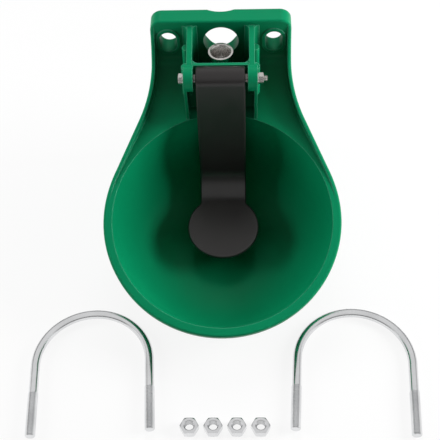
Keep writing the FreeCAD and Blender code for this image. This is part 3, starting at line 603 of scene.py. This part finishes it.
def makeFillet(name, cornerX, cornerY, wayX, wayY, radius, base, topAt, size):
    # a prism in a corner, hollowed by a round bar, with its top cut to the fall of the ribs
    lap = size["lap"]
    width = radius + lap
    clearChoice()
    height = size["blankHeight"]
    bpy.ops.mesh.primitive_cube_add(size=1, location=(cornerX + wayX * (radius - lap) / 2,
                                                      cornerY + wayY * (radius - lap) / 2,
                                                      base + height / 2))
    fillet = bpy.context.object
    fillet.name = name
    fillet.scale = (width, width, height)
    settle(fillet)
    bar = addRod("bar", radius, height + 2 * size["barPast"], 48, base - size["barPast"])
    bar.location = (cornerX + wayX * radius, cornerY + wayY * radius, 0)
    settle(bar)
    carve(fillet, bar, "DIFFERENCE")
    choose(fillet)
    bpy.ops.object.mode_set(mode="EDIT")
    bpy.ops.mesh.select_all(action="SELECT")
    bpy.ops.mesh.bisect(plane_co=(0, cornerY, topAt), plane_no=(0, -size["ribFall"], 1),
                        use_fill=True, clear_outer=True)
    bpy.ops.object.mode_set(mode="OBJECT")
    return fillet


def makeNeckFillets(size):
    # on each side: plate to rib in the middle room, plate to rib in the outer pocket, web to rib
    fillets = []
    for side in (-1, 1):
        fillets.append(makeFillet("plateFillet", side * size["ribInner"], -size["plateFront"], -side, -1,
                                  size["plateRadius"], size["roomBase"], size["ribTop"], size))
        fillets.append(makeFillet("plateFillet", side * size["ribOuter"], -size["plateFront"], side, -1,
                                  size["outerRadius"], size["pocketBase"], size["ribTop"], size))
        fillets.append(makeFillet("webFillet", side * size["ribInner"], -size["webRear"], -side, 1,
                                  size["webRadius"], size["roomBase"], size["webTop"], size))
    return joinAll("neckFillets", fillets)


finishPiece(makeNeckFillets(neckFillets), "body", "green_plastic", angle=40)
print("neck fillets made")

# Floor, lights and camera

floorSetup = {"gap": 0.0004, "size": 12.0, "dark": (0.85, 0.85, 0.85), "light": (0.87, 0.87, 0.87),
              "cloudScale": 3.0, "rough": 0.9, "specular": 0.1, "glow": 0.88}


def makeFloor(setup):
    # a matt pale floor, which the camera and reflections see as nearly white
    clearChoice()
    bpy.ops.mesh.primitive_plane_add(size=setup["size"], location=(0, 0, cadBox[0][2] - setup["gap"]))
    floor = bpy.context.object
    floor.name = "floor"
    material, tree, shader, place = startMaterial(
        "paleFloor", {"Roughness": setup["rough"], "Specular IOR Level": setup["specular"]})
    cloud = addNoise(tree, place, setup["cloudScale"])
    tree.links.new(blendColours(tree, cloud, setup["dark"], setup["light"]), shader.inputs["Base Color"])
    glow = tree.nodes.new("ShaderNodeEmission")
    path = tree.nodes.new("ShaderNodeLightPath")
    seen = addMath(tree, "MAXIMUM", path.outputs["Is Camera Ray"], path.outputs["Is Glossy Ray"])
    mix = tree.nodes.new("ShaderNodeMixShader")
    tree.links.new(addMath(tree, "MULTIPLY", seen, setup["glow"]), mix.inputs["Fac"])
    tree.links.new(shader.outputs["BSDF"], mix.inputs[1])
    tree.links.new(glow.outputs["Emission"], mix.inputs[2])
    tree.links.new(mix.outputs["Shader"], tree.nodes["Material Output"].inputs["Surface"])
    floor.data.materials.append(material)


makeFloor(floorSetup)

worldSetup = {"fill": 0.14, "skyLow": 0.06, "skyHigh": 0.78, "bandStart": 0.12, "bandEnd": 0.62,
              "sideStart": 0.8, "sideEnd": 0.93}


def makeWorld(setup):
    # white to the camera, a low fill for the shading,
    # and in reflections a pale ceiling over dark walls with white panels at both sides
    world = bpy.data.worlds.new("studio")
    scene.world = world
    world.use_nodes = True
    tree = world.node_tree
    background = tree.nodes["Background"]
    background.inputs["Color"].default_value = (1, 1, 1, 1)
    place = tree.nodes.new("ShaderNodeTexCoord")
    parts = tree.nodes.new("ShaderNodeSeparateXYZ")
    tree.links.new(place.outputs["Generated"], parts.inputs["Vector"])
    sky = spreadTo(tree, parts.outputs["Z"], setup["skyLow"], setup["skyHigh"],
                   setup["bandStart"], setup["bandEnd"])
    across = addMath(tree, "ABSOLUTE", parts.outputs["X"])
    sides = spreadTo(tree, across, 0.0, 1.0, setup["sideStart"], setup["sideEnd"])
    brightest = addMath(tree, "MAXIMUM", sky, sides)
    path = tree.nodes.new("ShaderNodeLightPath")
    mirrored = tree.nodes.new("ShaderNodeMix")
    mirrored.inputs["A"].default_value = setup["fill"]
    tree.links.new(path.outputs["Is Glossy Ray"], mirrored.inputs["Factor"])
    tree.links.new(brightest, mirrored.inputs["B"])
    seen = tree.nodes.new("ShaderNodeMix")
    seen.inputs["B"].default_value = 1.0
    tree.links.new(path.outputs["Is Camera Ray"], seen.inputs["Factor"])
    tree.links.new(mirrored.outputs["Result"], seen.inputs["A"])
    tree.links.new(seen.outputs["Result"], background.inputs["Strength"])


makeWorld(worldSetup)

lamps = {
    "keyLamp": {"place": (1.05, -0.15, 0.32), "size": 0.5, "power": 15.5},
    "fillLamp": {"place": (-1.05, -0.15, 0.32), "size": 0.5, "power": 7.0},
    "backLamp": {"place": (0.0, 0.65, 0.85), "size": 0.6, "power": 7.5},
}
lampTarget = Vector((0.0, -0.15, -0.1))
for name, lamp in lamps.items():
    light = bpy.data.lights.new(name, "AREA")
    light.size = lamp["size"]
    light.energy = lamp["power"]
    lampObject = bpy.data.objects.new(name, light)
    scene.collection.objects.link(lampObject)
    lampObject.visible_glossy = False
    lampObject.location = lamp["place"]
    lampObject.rotation_euler = (lampTarget - Vector(lamp["place"])).to_track_quat("-Z", "Y").to_euler()

cameraSetup = {"place": (0.0227, -0.7604, 0.6529), "turn": (38.0, 1.48, 0.53), "lens": 77.73,
               "sensor": 36.0}
camera = bpy.data.objects.new("camera", bpy.data.cameras.new("camera"))
scene.collection.objects.link(camera)
camera.data.lens = cameraSetup["lens"]
camera.data.sensor_width = cameraSetup["sensor"]
camera.location = cameraSetup["place"]
camera.rotation_euler = Euler([math.radians(angle) for angle in cameraSetup["turn"]])
scene.camera = camera
print("floor, lamps and camera set")
